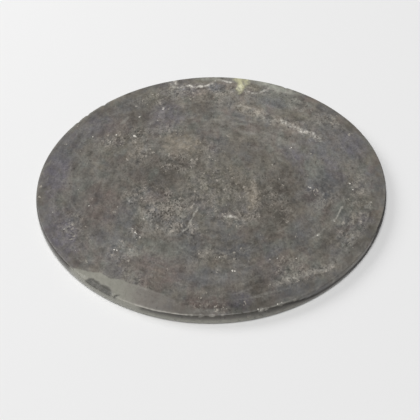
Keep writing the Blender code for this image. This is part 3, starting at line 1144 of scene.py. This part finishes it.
def crystal_tree():
    """A larger mineral on each point of a mesh, as big as the point's radius says."""
    tree, given, result = open_group(
        "crystal_setting", "GeometryNodeTree",
        (("Geometry", GEOMETRY, None), ("Seed", INTEGER, 0), ("Material", MATERIAL, None)),
        (("Geometry", GEOMETRY),),
    )
    radius = named(tree, "crystal_radius")
    feed(tree, result, {"Geometry": seated_grains(tree, given["Geometry"], radius, radius, given)})
    return tree


# ---------------------------------------------------------------- pieces


def new_object(name, mesh, material=None):
    made = bpy.data.objects.new(name, mesh)
    bpy.context.scene.collection.objects.link(made)
    if material is not None:
        made.data.materials.append(material)
    return made


def shared_group(name, maker):
    return bpy.data.node_groups.get(name) or maker()


def join_frame(piece):
    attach(piece, BODY)


def top_of(stone, x, y):
    """Height of the stone's top face under a point given in millimetres."""
    start = Vector((x * MM, y * MM, THICKNESS * 3))
    hit, place, _normal, _face = stone.ray_cast(start, Vector((0, 0, -1)))
    if not hit:
        raise ValueError(f"no stone under {x}, {y}")
    return place.z


class MASSAGESTONE_OT_disc(Operator):
    """Build the stone's worn surface and its rock material in place of the plain solid"""

    bl_idname = "massagestone.disc"
    bl_label = "Stone Disc"

    def execute(self, context):
        shape, finish = context.scene.stone_shape, context.scene.stone_finish
        stone = new_object("worn_stone", stone_mesh(shape, finish))
        apply_nodes(stone, weathering_tree(), {
            "Relief Height": shape.skin_relief,
            "Pit Depth": shape.pit_depth,
            "Pit Spacing": shape.pit_size,
        })
        stone.data.shade_smooth()
        mottle = shared_group("rock_mottle", mottle_group)
        specks = shared_group("rock_specks", speck_group)
        threads = shared_group("rock_threads", thread_group)
        stone.data.materials.append(stone_material(finish, mottle, specks, threads))
        join_frame(stone)
        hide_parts(NODE)
        return {"FINISHED"}


class MASSAGESTONE_OT_minerals(Operator):
    """Set the pale minerals that show in the stone's top face"""

    bl_idname = "massagestone.minerals"
    bl_label = "Pale Minerals"

    def execute(self, context):
        shape, finish = context.scene.stone_shape, context.scene.stone_finish
        stone = bpy.data.objects["worn_stone"]
        mottle = shared_group("rock_mottle", mottle_group)
        pale = mineral_material("pale_mineral", finish.mineral, mottle)
        bright = mineral_material("bright_mineral", finish.crystal, mottle)
        dust = new_object("mineral_dust", stone.data.copy())
        apply_nodes(dust, dusting_tree(), {
            "Density": shape.grain_density, "Largest": shape.grain_size,
            "Seed": shape.seed, "Material": pale,
        })
        seats = bpy.data.meshes.new("crystal_seats")
        places = [(x * MM, y * MM, top_of(stone, x, y)) for x, y, _radius in CRYSTALS]
        seats.from_pydata(places, [], [])
        store(seats, "crystal_radius", [radius * MM for _x, _y, radius in CRYSTALS])
        crystals = new_object("crystals", seats)
        apply_nodes(crystals, crystal_tree(), {"Seed": shape.seed, "Material": bright})
        for piece in (dust, crystals):
            piece.data.shade_smooth()
            join_frame(piece)
        return {"FINISHED"}


# ---------------------------------------------------------------- studio


FLOOR_REACH = 6.0
SKY_SEEN = 0.8
OVERHEAD_PLACE = (-0.1, -0.85, 2.1)
OVERHEAD_SPREAD = math.radians(34)
SIDE_PLACE = (-0.95, 0.5, 0.9)
SIDE_SIZE = 0.9
CAMERA_AIM = (-0.74 * MM, -13.34 * MM, 0)


def studio_floor(settings):
    floor_shape = bmesh.new()
    bmesh.ops.create_grid(floor_shape, x_segments=1, y_segments=1, size=FLOOR_REACH)
    mesh = bpy.data.meshes.new("floor")
    floor_shape.to_mesh(mesh)
    floor_shape.free()
    material, _tree, shader = new_material("floor_paper")
    shader.inputs["Base Color"].default_value = (*settings.floor, 1.0)
    shader.inputs["Roughness"].default_value = 0.8
    shader.inputs["Specular IOR Level"].default_value = 0.2
    new_object("floor", mesh, material)


def studio_world(settings):
    """Dim even surroundings, which the camera itself sees as pale grey."""
    world = bpy.data.worlds.new("studio")
    bpy.context.scene.world = world
    world.use_nodes = True
    tree = world.node_tree
    background = tree.nodes["Background"]
    seen = add_node(tree, "ShaderNodeLightPath").outputs["Is Camera Ray"]
    mixed = add_node(tree, "ShaderNodeMix", {0: seen, 2: settings.sky, 3: SKY_SEEN}, data_type="FLOAT")
    tree.links.new(mixed.outputs[0], background.inputs["Strength"])
    background.inputs["Color"].default_value = (1.0, 1.0, 1.0, 1.0)


def studio_lamp(name, kind, place, strength, **settings):
    """A soft lamp that points at the stone."""
    light = bpy.data.lights.new(name, kind)
    light.energy = strength
    for setting, value in settings.items():
        setattr(light, setting, value)
    lamp = bpy.data.objects.new(name, light)
    lamp.location = place
    lamp.rotation_euler = (-Vector(place)).to_track_quat("-Z", "Y").to_euler()
    bpy.context.scene.collection.objects.link(lamp)


def studio_camera(settings):
    """Camera in front of the stone, above it and leaning a little to its right."""
    rise = settings.elevation
    place = Vector((0, -math.cos(rise), math.sin(rise))) * settings.distance
    camera = bpy.data.cameras.new("camera")
    camera.lens = settings.lens
    camera.sensor_width = 36
    camera.clip_start = 0.01
    camera.clip_end = 50
    view = bpy.data.objects.new("camera", camera)
    turn = (Vector(CAMERA_AIM) - place).to_track_quat("-Z", "Y").to_matrix().to_4x4()
    view.matrix_world = Matrix.Translation(place) @ turn @ Matrix.Rotation(-settings.roll, 4, "Z")
    bpy.context.scene.collection.objects.link(view)
    bpy.context.scene.camera = view


class MASSAGESTONE_OT_studio(Operator):
    """Make the pale floor, the soft lights and the camera"""

    bl_idname = "massagestone.studio"
    bl_label = "Studio"

    def execute(self, context):
        settings = context.scene.stone_studio
        studio_floor(settings)
        studio_world(settings)
        studio_lamp("overhead", "SUN", OVERHEAD_PLACE, settings.key_strength, angle=OVERHEAD_SPREAD)
        studio_lamp("side", "AREA", SIDE_PLACE, settings.side_power, shape="DISK", size=SIDE_SIZE)
        studio_camera(settings)
        context.scene.view_settings.view_transform = "Standard"
        return {"FINISHED"}


class MASSAGESTONE_PT_panel(Panel):
    bl_label = "Massage Stone"
    bl_idname = "MASSAGESTONE_PT_panel"
    bl_space_type = "VIEW_3D"
    bl_region_type = "UI"
    bl_category = "Stone"

    def draw(self, context):
        for group_name, group in SETTINGS:
            box = self.layout.box()
            for name in group.__annotations__:
                box.prop(getattr(context.scene, group_name), name)
        for operator in PIECES:
            self.layout.operator(operator.bl_idname)


PIECES = (MASSAGESTONE_OT_studio, MASSAGESTONE_OT_disc, MASSAGESTONE_OT_minerals)
SETTINGS = (
    ("stone_shape", StoneShape),
    ("stone_finish", StoneFinish),
    ("stone_studio", StudioSettings),
)


def register():
    for name, group in SETTINGS:
        bpy.utils.register_class(group)
        setattr(bpy.types.Scene, name, PointerProperty(type=group))
    for operator in PIECES:
        bpy.utils.register_class(operator)
    bpy.utils.register_class(MASSAGESTONE_PT_panel)


def unregister():
    bpy.utils.unregister_class(MASSAGESTONE_PT_panel)
    for operator in reversed(PIECES):
        bpy.utils.unregister_class(operator)
    for name, group in reversed(SETTINGS):
        delattr(bpy.types.Scene, name)
        bpy.utils.unregister_class(group)


def main():
    register()
    bpy.ops.massagestone.studio()
    bpy.ops.massagestone.disc()
    bpy.ops.massagestone.minerals()


if __name__ == "__main__":
    main()
